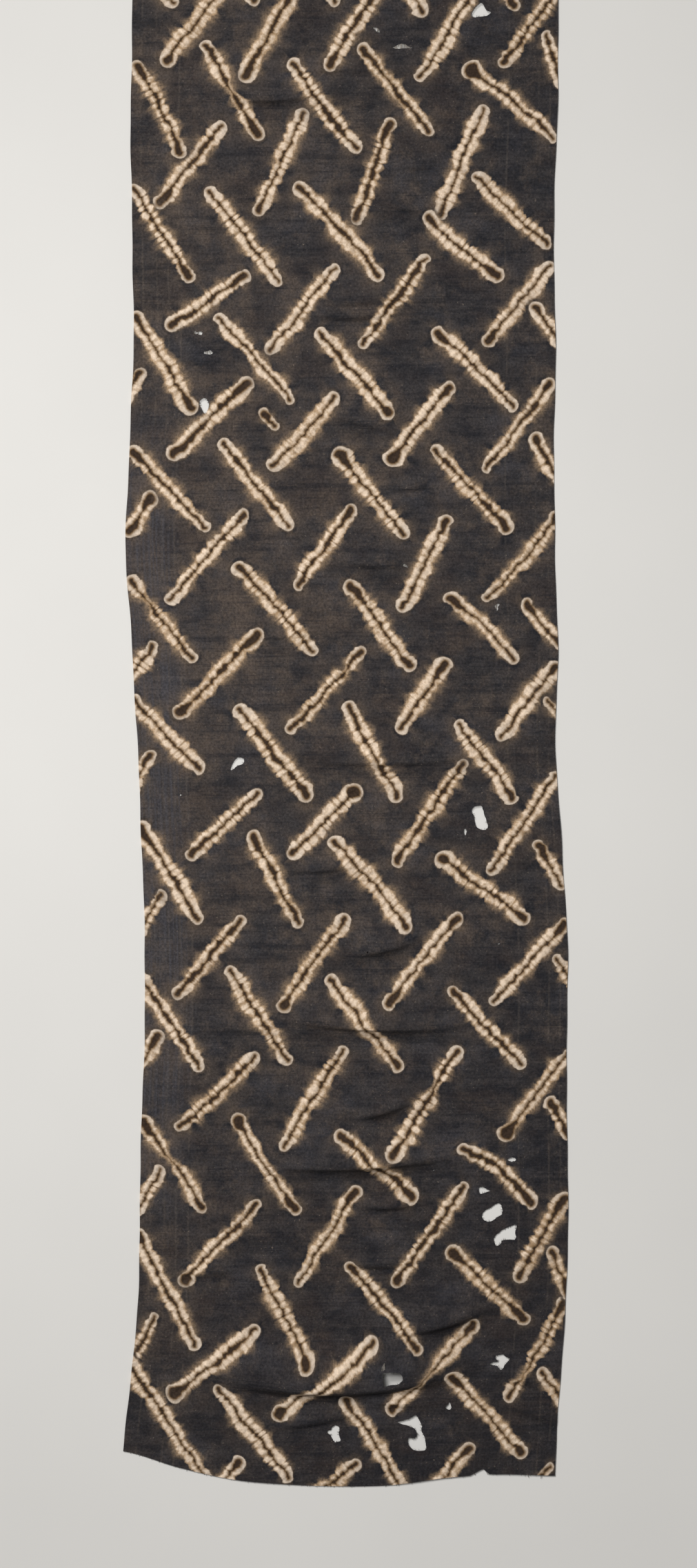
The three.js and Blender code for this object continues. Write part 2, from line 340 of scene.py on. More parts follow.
class ClothColours(bpy.types.PropertyGroup):
    """Dyes and yarn colours, as linear values."""

    ground_deep: bpy.props.FloatVectorProperty(
        name="Deep ground",
        description="Where the dark dye took most strongly",
        default=(0.0165, 0.0170, 0.0212),
        **DYE,
    )
    ground_thin: bpy.props.FloatVectorProperty(
        name="Thin ground",
        description="Where the dark dye took less strongly",
        default=(0.047, 0.0425, 0.0435),
        **DYE,
    )
    ground_warm: bpy.props.FloatVectorProperty(
        name="Warm ground",
        description="Brown where the dark dye has worn",
        default=(0.100, 0.077, 0.063),
        **DYE,
    )
    ground_worn: bpy.props.FloatVectorProperty(
        name="Worn ground",
        description="Pale specks where the yarn has worn bare",
        default=(0.190, 0.155, 0.125),
        **DYE,
    )
    ground_brown: bpy.props.FloatVectorProperty(
        name="Brown ground",
        description="Where the dark dye leans to brown",
        default=(0.044, 0.031, 0.0265),
        **DYE,
    )
    ground_grey: bpy.props.FloatVectorProperty(
        name="Grey ground",
        description="Where the dark dye leans to a bluish grey",
        default=(0.070, 0.069, 0.081),
        **DYE,
    )
    cream: bpy.props.FloatVectorProperty(
        name="Cream",
        description="Undyed cloth inside the stitched puckers",
        default=(0.87, 0.70, 0.545),
        **DYE,
    )
    cream_grey: bpy.props.FloatVectorProperty(
        name="Grey cream",
        description="Undyed cloth round the end loops of a dash",
        default=(0.68, 0.585, 0.495),
        **DYE,
    )
    tan: bpy.props.FloatVectorProperty(
        name="Tan",
        description="Dye that crept into the edge of the stitched puckers",
        default=(0.50, 0.345, 0.21),
        **DYE,
    )
    # Partly dye beside the stitch line, and partly painted shade in the gathers and down the slopes to the
    # line.
    valley_dye_and_shade: bpy.props.FloatVectorProperty(
        name="Valley dye and shade",
        description="Brown in the gathers and beside the stitch line",
        default=(0.22, 0.135, 0.065),
        **DYE,
    )
    bleed: bpy.props.FloatVectorProperty(
        name="Bleed",
        description="Dye that crept out into the ground",
        default=(0.31, 0.215, 0.135),
        **DYE,
    )
    stitch_line: bpy.props.FloatVectorProperty(
        name="Stitch line",
        description="Dye along the needle holes of the stitching",
        default=(0.064, 0.036, 0.018),
        **DYE,
    )
    yarn: bpy.props.FloatVectorProperty(
        name="Loose yarn",
        description="Frayed yarns at the worn holes",
        default=(0.34, 0.31, 0.28),
        **DYE,
    )
    floor: bpy.props.FloatVectorProperty(
        name="Floor",
        description="Pale floor under the cloth",
        default=(0.80, 0.79, 0.77),
        **DYE,
    )


# Shape of the cloth


def cubic_between(before, here, after, beyond, step):
    """Cubic from here to after, with each slope half the difference of the two neighbours."""
    leave = (after - before) / 2
    arrive = (beyond - here) / 2
    cubic = 2 * here - 2 * after + leave + arrive
    square = -3 * here + 3 * after - 2 * leave - arrive
    return ((cubic * step + square) * step + leave) * step + here


def smooth_row(values, share):
    """Cubic through evenly spaced values, at a share of the way along them."""
    values = np.asarray(values, dtype=float)
    last = len(values) - 1
    place = np.clip(share, 0, 1) * last
    start = np.minimum(np.floor(place).astype(int), last)
    near = [values[np.clip(start + k, 0, last)] for k in (-1, 0, 1, 2)]
    return cubic_between(*near, place - start)


def soft_step(distance):
    """Bell of one minus the squared distance, squared: 1 in the middle, and 0 from a distance of 1 out."""
    return np.maximum(0, 1 - distance * distance) ** 2


def selvedge_waver(y, phase):
    """Two sines along the cloth that make a selvedge waver by about a millimetre."""
    return 0.5 * np.sin(y / 31 + phase) + 0.3 * np.sin(y / 13.7 + 2.3 * phase)


def flat_place(across, along, length):
    """Place of a point of the flat strip: a straight mix of the selvedges across it, and the length times
    its share along it, plus the cut of the worn end fading as a square, plus the bite's bell."""
    run = along * length
    left = smooth_row(LEFT_SELVEDGE, along) + selvedge_waver(run, 0.4)
    right = smooth_row(RIGHT_SELVEDGE, along) + selvedge_waver(run, 1.9)
    x = left + (right - left) * across
    fade = np.maximum(0, 1 - along / END_RISE_FADE) ** 2
    y = run + smooth_row(END_RISE, across) * fade
    bell = soft_step((x - BITE["x"]) / BITE["half_width"])
    y = y + BITE["depth"] * bell * np.maximum(0, 1 - run / BITE["reach"])
    return x, y


def warp_line(x, y, length):
    """Distance of a place from the cloth's centre line, counted in yarns, which follow the selvedges: its
    share of the way between them times the usual width."""
    left = smooth_row(LEFT_SELVEDGE, y / length)
    right = smooth_row(RIGHT_SELVEDGE, y / length)
    return ((x - left) / (right - left) - 0.5) * CUT_WIDTH


def fold_lift(fold, x, y):
    """Lift of one fold: its height times a bell along the crest times a bell across it, the crest being
    a straight line plus a parabola, and the bell across having its own width above and below the crest."""
    along = (x - fold["x"]) / fold["reach"]
    across = y - fold["y"] - fold["slope"] * (x - fold["x"]) - fold["bow"] * along * along
    side = np.where(across > 0, fold["above"], fold["below"])
    return fold["height"] * soft_step(along) * soft_step(across / side)


def undulation(x, y):
    """Low swells over the whole cloth: two crossing sines squared, up to about two millimetres high."""
    first = np.sin(x / 94 + 0.8 * np.sin(y / 210)) * np.sin(y / 71 + x / 260)
    second = np.sin(y / 46 + 1.3 * np.sin(x / 120)) * np.sin(x / 58 + y / 330)
    return 1.3 * first * first + 0.9 * second * second


def drape(x, y):
    """Place of the underside in space: every fold's lift added to the low swells, and the crests slipped down
    by their lean."""
    lift = undulation(x, y)
    slip = np.zeros_like(x)
    for row in FOLDS + CREASES:
        fold = dict(zip(FOLD_COLUMNS, row))
        part = fold_lift(fold, x, y)
        lift += part
        slip += part * fold["lean"]
    return np.stack((x, y - slip, lift), axis=-1)


def hole_rings():
    """Ragged outlines of the worn holes: a closed cubic through each hole's corners, three points to a span,
    and a little chance on top."""
    rng = np.random.default_rng(HOLE_SEED)
    step = np.arange(3)[None, :, None] / 3
    rings = []
    for x, y, corners in HOLES:
        here = np.array(corners, dtype=float)[:, None, :]
        near = [np.roll(here, k, axis=0) for k in (1, 0, -1, -2)]
        ring = cubic_between(*near, step).reshape(-1, 2)
        rings.append(ring + rng.normal(0, HOLE_RAG, ring.shape) + (x, y))
    return rings


def inside_ring(points, ring):
    """Which points lie inside a closed ring: those with an odd number of ring edges to their right."""
    start = ring
    end = np.roll(ring, -1, axis=0)
    px = points[:, 0, None]
    py = points[:, 1, None]
    spans = (start[:, 1] > py) != (end[:, 1] > py)
    rise = np.where(end[:, 1] == start[:, 1], 1e-9, end[:, 1] - start[:, 1])
    crossing = start[:, 0] + (py - start[:, 1]) / rise * (end[:, 0] - start[:, 0])
    return (spans & (px < crossing)).sum(axis=1) % 2 == 1


def open_edges(faces):
    """Directed edges that belong to one face only, from arrays of faces."""
    edges = np.concatenate([np.stack((f, np.roll(f, -1, axis=1)), axis=-1).reshape(-1, 2) for f in faces])
    key = np.sort(edges, axis=1)
    _, index, count = np.unique(key, axis=0, return_index=True, return_counts=True)
    return edges[index[count == 1]]


def ring_fill(points, border, rings):
    """Triangles between the border of the cells that were taken out and the holes' rings, facing up. The new
    points follow the old ones."""
    used = np.unique(border)
    ring_points = np.concatenate(rings)
    own = np.split(np.arange(len(ring_points)), np.cumsum([len(ring) for ring in rings])[:-1])
    ring_edges = np.concatenate([np.stack((k, np.roll(k, -1)), axis=-1) for k in own])
    local = np.concatenate((points[used], ring_points))
    edges = np.concatenate((np.searchsorted(used, border), ring_edges + len(used)))
    inside_only = 1
    made = delaunay_2d_cdt([Vector(p) for p in local], edges.tolist(), [], inside_only, 1e-6)
    fill_points = np.array([tuple(p) for p in made[0]])
    fill = np.array(made[2])
    centres = fill_points[fill].mean(axis=1)
    for ring in rings:
        keep = ~inside_ring(centres, ring)
        fill = fill[keep]
        centres = centres[keep]
    named = [[k for k in given if k < len(used)] for given in made[3]]
    names = np.array([used[given[0]] if given else len(points) + k for k, given in enumerate(named)])
    points = np.concatenate((points, fill_points))
    triangles = names[fill]
    a, b, c = (points[triangles[:, k]] for k in range(3))
    turn = (b[:, 0] - a[:, 0]) * (c[:, 1] - a[:, 1]) - (b[:, 1] - a[:, 1]) * (c[:, 0] - a[:, 0])
    return points, np.where(turn[:, None] > 0, triangles, triangles[:, ::-1])


def flat_panel(sizes):
    """Flat cloth as points and faces: an even grid over the strip, with the cells round each worn hole
    taken out and the space between them and the hole's ring filled with triangles."""
    columns = sizes.steps_across + 1
    rows = sizes.steps_along + 1
    along, across = np.meshgrid(np.linspace(0, 1, rows), np.linspace(0, 1, columns), indexing="ij")
    x, y = flat_place(across, along, sizes.length / MM)
    points = np.stack((x.ravel(), y.ravel()), axis=-1)
    corner = (np.arange(rows - 1)[:, None] * columns + np.arange(columns - 1)).ravel()
    quads = np.stack((corner, corner + 1, corner + columns + 1, corner + columns), axis=-1)
    rings = hole_rings()
    cells = points[quads]
    low = cells.min(axis=1) - HOLE_MARGIN
    high = cells.max(axis=1) + HOLE_MARGIN
    cut = np.zeros(len(quads), dtype=bool)
    for ring in rings:
        close = ((ring[:, None] > low) & (ring[:, None] < high)).all(axis=2).any(axis=0)
        cut |= close | inside_ring(cells.mean(axis=1), ring)
    points, triangles = ring_fill(points, open_edges([quads[cut]]), rings)
    quads = quads[~cut]
    kept = np.unique(np.concatenate((quads.ravel(), triangles.ravel())))
    return points[kept], np.searchsorted(kept, quads), np.searchsorted(kept, triangles)


def dash_table(courses, first_number):
    """Stitched dashes of one lean as rows of middle, direction towards the top, half length, number, place of
    the nip along the dash, bow, the extra width of a loop, which is above 0 at the top and below 0 at the
    foot, and how quickly the dash widens from its nip."""
    given = [row for course in courses for row in course]
    rows = np.array([row + PLAIN_DASH[len(row) - 4 :] for row in given], dtype=float)
    dash = dict(zip(DASH_COLUMNS, rows.T))
    run_x = dash["x_top"] - dash["x_foot"]
    run_y = dash["y_top"] - dash["y_foot"]
    length = np.hypot(run_x, run_y)
    loop = np.zeros(len(rows))
    for x, y, size in LOOPED_ENDS:
        loop += size * ((dash["x_top"] == x) & (dash["y_top"] == y))
        loop -= size * ((dash["x_foot"] == x) & (dash["y_foot"] == y))
    widening = np.ones(len(rows))
    for x, y, rate in NECKS:
        widening[(dash["x_foot"] == x) & (dash["y_foot"] == y)] = rate
    return np.stack(
        (
            (dash["x_top"] + dash["x_foot"]) / 2,
            (dash["y_top"] + dash["y_foot"]) / 2,
            run_x / length,
            run_y / length,
            length / 2,
            first_number + np.arange(len(rows)),
            dash["nip"] * length / 2,
            dash["bow"],
            loop,
            widening,
        ),
        axis=-1,
    )


def dash_place(flat, corners, face_of_corner, faces, dashes):
    """Place of each face corner in the frame of the dash nearest to its face: how far along the dash, how far
    to its right less the parabola of its bow, and the half length, in millimetres. Also the dash's form:
    its number, how far along it the corner lies from the nip times the rate of widening, and the extra width
    of its loop."""
    totals = np.zeros((faces, 2))
    np.add.at(totals, face_of_corner, flat[corners])
    centres = totals / np.bincount(face_of_corner, minlength=faces)[:, None]
    nearest = np.zeros(faces, dtype=int)
    best = np.full(faces, np.inf)
    for k, (x, y, across, up, half, *_) in enumerate(dashes):
        dx = centres[:, 0] - x
        dy = centres[:, 1] - y
        over = np.maximum(np.abs(dx * across + dy * up) - half, 0)
        aside = dx * up - dy * across
        far = over * over + aside * aside
        closer = far < best
        nearest[closer] = k
        best[closer] = far[closer]
    x, y, across, up, half, number, nip, bow, loop, widening = dashes[nearest[face_of_corner]].T
    dx = flat[corners, 0] - x
    dy = flat[corners, 1] - y
    along = dx * across + dy * up
    aside = dx * up - dy * across - bow * (1 - (along / half) ** 2)
    place = np.stack((along, aside, half), axis=-1)
    form = np.stack((number, (along - nip) * widening, loop), axis=-1)
    return place, form


def to_frame(points):
    """Millimetres on the flat strip's axes to metres in the frame, the worn end at the box's low edge."""
    middle = (CLOTH_LOW.x + CLOTH_HIGH.x) / 2 - (LEFT_SELVEDGE[0] + max(RIGHT_SELVEDGE)) / 2 * MM
    return points * MM + np.array((middle, CLOTH_LOW.y, CLOTH_LOW.z))


def add_object(name, data):
    """Object of a mesh, a light or a camera, in the scene."""
    thing = bpy.data.objects.new(name, data)
    bpy.context.scene.collection.objects.link(thing)
    return thing


def new_mesh_object(name, points, loops, sizes):
    """Mesh object from arrays: points, the corners of all faces in a row, and each face's corner count."""
    mesh = bpy.data.meshes.new(name)
    mesh.vertices.add(len(points))
    mesh.vertices.foreach_set("co", np.ascontiguousarray(points, dtype=np.float32).ravel())
    mesh.loops.add(len(loops))
    mesh.loops.foreach_set("vertex_index", np.ascontiguousarray(loops, dtype=np.int32))
    mesh.polygons.add(len(sizes))
    starts = np.concatenate(([0], np.cumsum(sizes)[:-1]))
    mesh.polygons.foreach_set("loop_start", starts.astype(np.int32))
    mesh.update(calc_edges=True)
    mesh.validate()
    return add_object(name, mesh)


def put_attribute(mesh, name, kind, domain, values):
    """Named attribute on a mesh, filled from an array."""
    attribute = mesh.attributes.new(name, kind, domain)
    field = "vector" if kind == "FLOAT_VECTOR" else "value"
    attribute.data.foreach_set(field, np.ascontiguousarray(values, dtype=np.float32).ravel())


def stain_depth(x, y):
    """Sum of the stains: each one's strength times a bell of the distance from its middle."""
    depth = np.zeros_like(x)
    for stain_x, stain_y, radius, strength in STAINS:
        depth += strength * soft_step(np.hypot(x - stain_x, y - stain_y) / radius)
    return depth


def woven_panel(sizes):
    """Closed thin sheet: the draped flat panel, the same a thickness higher, and a rim along open edges."""
    flat, quads, triangles = flat_panel(sizes)
    under = drape(flat[:, 0], flat[:, 1])
    upper = under + np.array((0, 0, sizes.thickness / MM))
    count = len(flat)
    edges = open_edges([quads, triangles])
    rim = np.stack((edges[:, 0], edges[:, 0] + count, edges[:, 1] + count, edges[:, 1]), axis=-1)
    parts = (quads, triangles, quads[:, ::-1] + count, triangles[:, ::-1] + count, rim)
    loops = np.concatenate([part.ravel() for part in parts])
    face_sizes = np.concatenate([np.full(len(part), part.shape[1]) for part in parts])
    panel = new_mesh_object("woven_panel", to_frame(np.concatenate((upper, under))), loops, face_sizes)
    mesh = panel.data
    both = np.concatenate((flat, flat))
    face_of_corner = np.repeat(np.arange(len(face_sizes)), face_sizes)
    for lean, (courses, first_number) in LEANS.items():
        dashes = dash_table(courses, first_number)
        place, form = dash_place(both, loops, face_of_corner, len(face_sizes), dashes)
        put_attribute(mesh, f"{lean}_dash", "FLOAT_VECTOR", "CORNER", place)
        put_attribute(mesh, f"{lean}_form", "FLOAT_VECTOR", "CORNER", form)
    yarns = warp_line(both[:, 0], both[:, 1], sizes.length / MM)
    strip = np.stack((yarns, both[:, 1], np.zeros(len(both))), axis=-1)
    put_attribute(mesh, "strip_place", "FLOAT_VECTOR", "POINT", strip)
    put_attribute(mesh, "stain", "FLOAT", "POINT", stain_depth(both[:, 0], both[:, 1]))
    mesh.shade_smooth()
    mesh.set_sharp_from_angle(angle=np.radians(50))
    return panel


def loose_yarn_lines(sizes):
    """Short yarns at the torn edges, as rows of a start, a run, a bend and a tone on the flat strip. At a
    hole they start in the cloth just outside the ring and run along the warp or the weft, whichever points
    more into the hole. Where pale yarns still cross a hole they run from its top to its foot. At the worn
    end they run off the edge."""
    rng = np.random.default_rng(YARN_SEED)
    groups = []
    for ring in hole_rings():
        middle = ring.mean(axis=0)
        size = np.abs(ring - middle).max()
        chosen = ring[rng.random(len(ring)) < np.where(size > LEAST_FRAYED, FRAYED_SHARE, 0)]
        inward = middle - chosen
        along_warp = np.abs(inward[:, 1]) > np.abs(inward[:, 0])
        heading = np.where(along_warp[:, None], (0.0, 1.0), (1.0, 0.0)) * np.sign(inward)
        reach = rng.uniform(0.08, 0.32, (len(chosen), 1)) * np.minimum(size, 9)
        tone = rng.uniform(0, 0.7, len(chosen))
        groups.append((chosen - heading * YARN_ROOT, heading * (reach + YARN_ROOT), tone))
    for x, y, width, drop, count in CROSSED_HOLES:
        place = x + rng.uniform(-width / 2, width / 2, count)
        start = np.stack((place, np.full(count, y + drop)), axis=-1)
        run = np.stack((rng.normal(0, 1.0, count), np.full(count, -2.0 * drop)), axis=-1)
        groups.append((start, run, rng.uniform(0.7, 1.2, count)))

    # Yarns of the worn end, longest at its right corner.
    across = np.sort(rng.uniform(0.01, 0.99, END_YARNS))
    edge = np.stack(flat_place(across, np.zeros(END_YARNS), sizes.length / MM), axis=-1)
    fall = rng.uniform(0.6, 2.6, END_YARNS) * np.where(across > 0.93, 2.2, 1.0)
    run = np.stack((rng.normal(0, 0.7, END_YARNS), -YARN_ROOT - fall), axis=-1)
    groups.append((edge + np.array((0, YARN_ROOT)), run, rng.uniform(0, 0.8, END_YARNS)))

    starts, runs, tones = (np.concatenate(part) for part in zip(*groups))
    return starts, runs, rng.normal(0, 0.14, len(runs)), tones


def loose_yarns(sizes):
    """Thin tubes along the loose yarns: each line is its start plus its run times a share, bent sideways by a
    parabola, draped like the cloth, sinking a little towards its end, and carried round by a small ring."""
    starts, runs, bend, tones = loose_yarn_lines(sizes)
    rings = YARN_RINGS
    sides = YARN_SIDES
    share = np.linspace(0, 1, rings)[None, :, None]
    aside = np.stack((-runs[:, 1], runs[:, 0]), axis=-1)
    line = starts[:, None] + runs[:, None] * share + (aside * bend[:, None])[:, None] * share * share
    draped = drape(line[..., 0], line[..., 1])
    draped[..., 2] += sizes.thickness / MM * (YARN_LIFT - YARN_SINK * share[..., 0])
    along = np.gradient(draped, axis=1)
    along /= np.linalg.norm(along, axis=2, keepdims=True)
    right = np.stack((along[..., 1], -along[..., 0], np.zeros(along.shape[:2])), axis=-1)
    right /= np.linalg.norm(right, axis=2, keepdims=True)
    up = np.cross(right, along)
    thick = sizes.loose_yarn_thickness / MM / 2 * (1 - YARN_TAPER * share)
    turn = np.arange(sides) / sides * 2 * np.pi
    ring = right[:, :, None] * np.cos(turn)[:, None] + up[:, :, None] * np.sin(turn)[:, None]
    points = draped[:, :, None] + ring * thick[..., None]
    first = np.arange(len(starts))[:, None, None] * rings * sides
    row = np.arange(rings - 1)[None, :, None] * sides
    here = np.arange(sides)[None, None, :]
    after = (here + 1) % sides
    corner = first + row
    quads = np.stack((corner + here, corner + after, corner + sides + after, corner + sides + here), axis=-1)
    caps = np.concatenate((first[:, 0] + here[0, :, ::-1], first[:, 0] + (rings - 1) * sides + here[0]))
    loops = np.concatenate((quads.ravel(), caps.ravel()))
    face_sizes = np.concatenate((np.full(quads[..., 0].size, 4), np.full(len(caps), sides)))
    thing = new_mesh_object("loose_yarns", to_frame(points.reshape(-1, 3)), loops, face_sizes)
    put_attribute(thing.data, "yarn_tone", "FLOAT", "POINT", np.repeat(tones, rings * sides))
    thing.data.shade_smooth()
    return thing


# Material helpers


class Wire:
    """Value at a node's output. Sums, products and powers of wires and numbers make Math nodes."""

    def __init__(self, socket):
        self.socket = socket

    def __add__(self, other):
        return maths("ADD", self, other)

    def __sub__(self, other):
        return maths("SUBTRACT", self, other)

    def __rsub__(self, other):
        return maths("SUBTRACT", other, self)

    def __mul__(self, other):
        return maths("MULTIPLY", self, other)

    def __truediv__(self, other):
        return maths("DIVIDE", self, other)

    def __pow__(self, power):
        return maths("POWER", self, power)

    def __abs__(self):
        return maths("ABSOLUTE", self)


def plug(socket, value):
    """Links a wire to a node's input, or sets the input to a number or a colour."""
    if isinstance(value, Wire):
        socket.id_data.links.new(value.socket, socket)
    else:
        socket.default_value = value


def tree_of(*values):
    """Node tree of the first wire among the values."""
    return next(value.socket.id_data for value in values if isinstance(value, Wire))


def set_inputs(node, given):
    """Links or sets a node's inputs by name."""
    for name, value in given.items():
        plug(node.inputs[name], value)


def make_node(tree, kind, given):
    """New node with its named inputs linked or set."""
    node = tree.nodes.new(kind)
    set_inputs(node, given)
    return node


def maths(operation, *values):
    """Math node on wires and numbers."""
    node = tree_of(*values).nodes.new("ShaderNodeMath")
    node.operation = operation
    for socket, value in zip(node.inputs, values):
        plug(socket, value)
    return Wire(node.outputs[0])


def blend(value, low, high, start=0.0, end=1.0):
    """Map Range node that runs smoothly from start at low to end at high."""
    given = {"Value": value, "From Min": low, "From Max": high, "To Min": start, "To Max": end}
    node = make_node(tree_of(value), "ShaderNodeMapRange", given)
    node.interpolation_type = "SMOOTHSTEP"
    return Wire(node.outputs["Result"])


def fading(value, low, high):
    """Smooth run from 1 at low to 0 at high."""
    return blend(value, low, high, 1.0, 0.0)


def flat_vector(x, y):
    """Combine XYZ node for a place on a flat texture."""
    node = make_node(tree_of(x, y), "ShaderNodeCombineXYZ", {"X": x, "Y": y})
    return Wire(node.outputs[0])


def split_vector(vector):
    """Separate XYZ node's three numbers."""
    node = make_node(tree_of(vector), "ShaderNodeSeparateXYZ", {"Vector": vector})
    return [Wire(output) for output in node.outputs]


def noise(vector, scale=1.0, detail=2.0, roughness=0.5):
    """Flat Noise Texture's value on a vector."""
    given = {"Vector": vector, "Scale": scale, "Detail": detail, "Roughness": roughness}
    node = make_node(tree_of(vector), "ShaderNodeTexNoise", given)
    node.noise_dimensions = "2D"
    return Wire(node.outputs["Fac"])


def around(value, size):
    """Distance of a value from a half, times a size."""
    return (value - 0.5) * size


def part_of(value, turns):
    """Another chance between 0 and 1 drawn from a first: the fraction left of so many times it."""
    return maths("FRACT", value * turns)


def mixed(share, first, second):
    """Mix node between two colours, each a wire or a colour property."""
    node = tree_of(share, first, second).nodes.new("ShaderNodeMix")
    node.data_type = "RGBA"
    plug(node.inputs[0], share)
    for socket, colour in zip(node.inputs[6:8], (first, second)):
        plug(socket, colour if isinstance(colour, Wire) else (*colour, 1.0))
    return Wire(node.outputs[2])


def attribute(tree, name, output):
    """Attribute node's output."""
    node = tree.nodes.new("ShaderNodeAttribute")
    node.attribute_name = name
    return Wire(node.outputs[output])


def new_material(name):
    """Material with its node tree and its shader."""
    material = bpy.data.materials.new(name)
    material.use_nodes = True
    return material, material.node_tree, material.node_tree.nodes["Principled BSDF"]


# Dyes


DASH_INPUTS = {"Place": "Vector", "Form": "Vector", "Creep": "Float", "Breadth": "Float"}
DASH_OUTPUTS = ("Pale", "Line", "Bleed", "Pucker light and shade", "Tail", "Edge", "Rim dye and shade", "Valley dye and shade", "Dull", "Halo", "Hollow")

# Sizes of a stitched dash, in millimetres. A spread is how much chance may add.
HALF_WIDTH = 9.6
HALF_WIDTH_SPREAD = 3.2
LOBES_PER_MM = 0.085
LOBE_DEPTH = 2.4
NECK_WIDTH_SHARE = 0.32
END_OVERRUN = 1.2
LEAST_PUCKER = 3.6
LOOP_LENGTH = 7.0
LOOP_LENGTH_SPREAD = 22.0
LOOP_HALF_WIDTH = 2.4
LOOP_HALF_WIDTH_SPREAD = 2.4
LOOP_OUTLINE = 2.0
LOOP_TIP = 4.9

# Where along the cloth the dark dye has faded most.
FADED_MIDDLE = 1280.0


def hypotenuse(first, second):
    """Root of the sum of two squares."""
    return maths("SQRT", first * first + second * second)


def dash_group():
    """Node group of one stitched dash, in millimetres from its middle. The pale puckers are a capsule with
    lobed sides, the dye line runs down the middle and opens into a loop at each end, a brown bleed lies
    outside the long sides, and a dark rim round it all is partly pooled dye and partly painted shade. The
    puckers' lumps carry painted light and shade, and the gaps between the lobes painted shade."""
    tree = bpy.data.node_groups.new("stitched_dash", "ShaderNodeTree")
    for name, kind in DASH_INPUTS.items():
        tree.interface.new_socket(name, in_out="INPUT", socket_type=f"NodeSocket{kind}")
    for name in DASH_OUTPUTS:
        tree.interface.new_socket(name, in_out="OUTPUT", socket_type="NodeSocketFloat")
    source = tree.nodes.new("NodeGroupInput")
    result = tree.nodes.new("NodeGroupOutput")
    place, form, creep, breadth = (Wire(source.outputs[name]) for name in DASH_INPUTS)
    along, aside, half = split_vector(place)
    number, nip_far, end_swell = split_vector(form)

    # Chances of this dash alone, drawn from its number.
    number = maths("ROUND", number)
    chance = tree.nodes.new("ShaderNodeTexWhiteNoise")
    chance.noise_dimensions = "1D"
    plug(chance.inputs["W"], number)
    luck = make_node(tree, "ShaderNodeSeparateColor", {"Color": Wire(chance.outputs["Color"])})
    first, second, third = (Wire(output) for output in luck.outputs)
    knotted = part_of(first, 7.0) ** 4.0
    drawn = part_of(second, 9.0)
    dull = part_of(third, 11.0)
    slack = part_of(third, 17.0) ** 1.5
    lane = number * 3.7

    def grain(row, rate, offset, detail=1.0):
        """Noise along a row of the texture that is this dash's own, at a rate per millimetre."""
        return noise(flat_vector(along * rate, row + offset), 1.0, detail)

    # The middle line wavers, and the stitches gather each side of it into lobes with a notch between them.
    off_line = aside + around(grain(lane, 0.026, 0.0), 8.0) + around(grain(lane, 0.085, 2.4), 3.0)
    side_lane = maths("SIGN", off_line) * 1.3 + lane
    stitches = along * LOBES_PER_MM + around(grain(side_lane, 0.036, 7.0), 2.2)
    from_lobe = abs(maths("FRACT", stitches) - 0.5) * 2.0
    to_end = half + END_OVERRUN - abs(along)
    tail = fading(to_end, 3.0, 36.0)
    calm = 1.0 - tail * 0.75
    depth = blend(grain(side_lane, 0.055, 11.0), 0.34, 0.66, 0.12, 1.0)
    depth = (depth * (drawn * 0.9 + 0.5) + knotted * 0.5) * calm
    dent = blend(from_lobe, 0.4, 1.05) * depth
    # Painted shade in the gaps between the lobes.
    painted_gap_shade = blend(from_lobe, 0.35, 1.0) * depth
    # Painted light and shade of the puckers: lumps lighter and darker by a noise, and darker notches between
    # the lobes.
    fine_place = flat_vector(along * 0.16 + side_lane * 17.3, off_line * 0.06)
    fine = around(noise(fine_place, 1.0, 1.0), 3.0)
    pucker_light_and_shade = fine * 0.7 + 0.1 - dent * 0.7

    # Half width of the puckers: uneven along each side, narrower at the ends, and drawn in at the nip.
    swell = around(grain(side_lane, 0.026, 3.1), 11.0) + (second * HALF_WIDTH_SPREAD + HALF_WIDTH)
    swell = swell + around(grain(side_lane, 0.09, 5.3), 5.5)
    swell = swell * breadth * blend(half, 15.0, 40.0, 0.6, 1.0)
    end_luck = blend(along, -8.0, 8.0) * (third - first) + first
    taper = end_luck * 0.22 - 0.2
    nip = blend(abs(nip_far), 2.0, 24.0, NECK_WIDTH_SHARE, 1.0)
    rough = (fine * 0.32 - dent * LOBE_DEPTH) * nip
    loop = maths("MAXIMUM", end_swell * maths("SIGN", along), 0.0) * fading(to_end, 12.0, 26.0)
    radius = swell * (tail * taper + 1.0) * nip + rough + loop

    # The ends are round, squarish or drawn to a point.
    tip = part_of(end_luck, 5.0) * 0.55 + 0.75
    over = maths("MAXIMUM", radius * tip - to_end, 0.0) / tip
    beyond = hypotenuse(off_line, over) - radius + around(creep, 1.3) * calm
    pale = fading(beyond * (tail * 0.9 + 1.0), -2.2, 1.2)

    # The dye line wriggles between the needle holes, runs into the notches, and opens towards the ends.
    line_off = off_line + around(grain(lane, 0.1, 0.7, 2.0), 6.0)
    bead = blend(grain(lane, 0.14, 1.9, 2.0), 0.34, 0.68, -0.3, 1.3)
    apart = blend(grain(lane, 0.045, 4.2), 0.38, 0.66, 0.0, 2.6)
    bead = maths("MINIMUM", apart * slack + bead + dent * 1.6, radius - LEAST_PUCKER)
    opens = end_luck * end_luck * LOOP_LENGTH_SPREAD + LOOP_LENGTH
    opening = fading(to_end - opens, -5.0, 14.0) * blend(end_luck, 0.1, 0.7, 0.4, 1.0)
    opening = maths("MAXIMUM", opening, blend(loop, 0.0, 2.0))
    border = fine * 0.4 + LOOP_OUTLINE
    widest = loop + (end_luck * LOOP_HALF_WIDTH_SPREAD + LOOP_HALF_WIDTH)
    hollow = maths("MINIMUM", radius - border, widest)
    line_radius = (hollow - bead) * opening + bead
    line_over = maths("MAXIMUM", line_radius + LOOP_TIP - to_end, 0.0)
    off_rim = hypotenuse(line_off, line_over) - line_radius
    line = fading(off_rim, -1.2, 1.2)
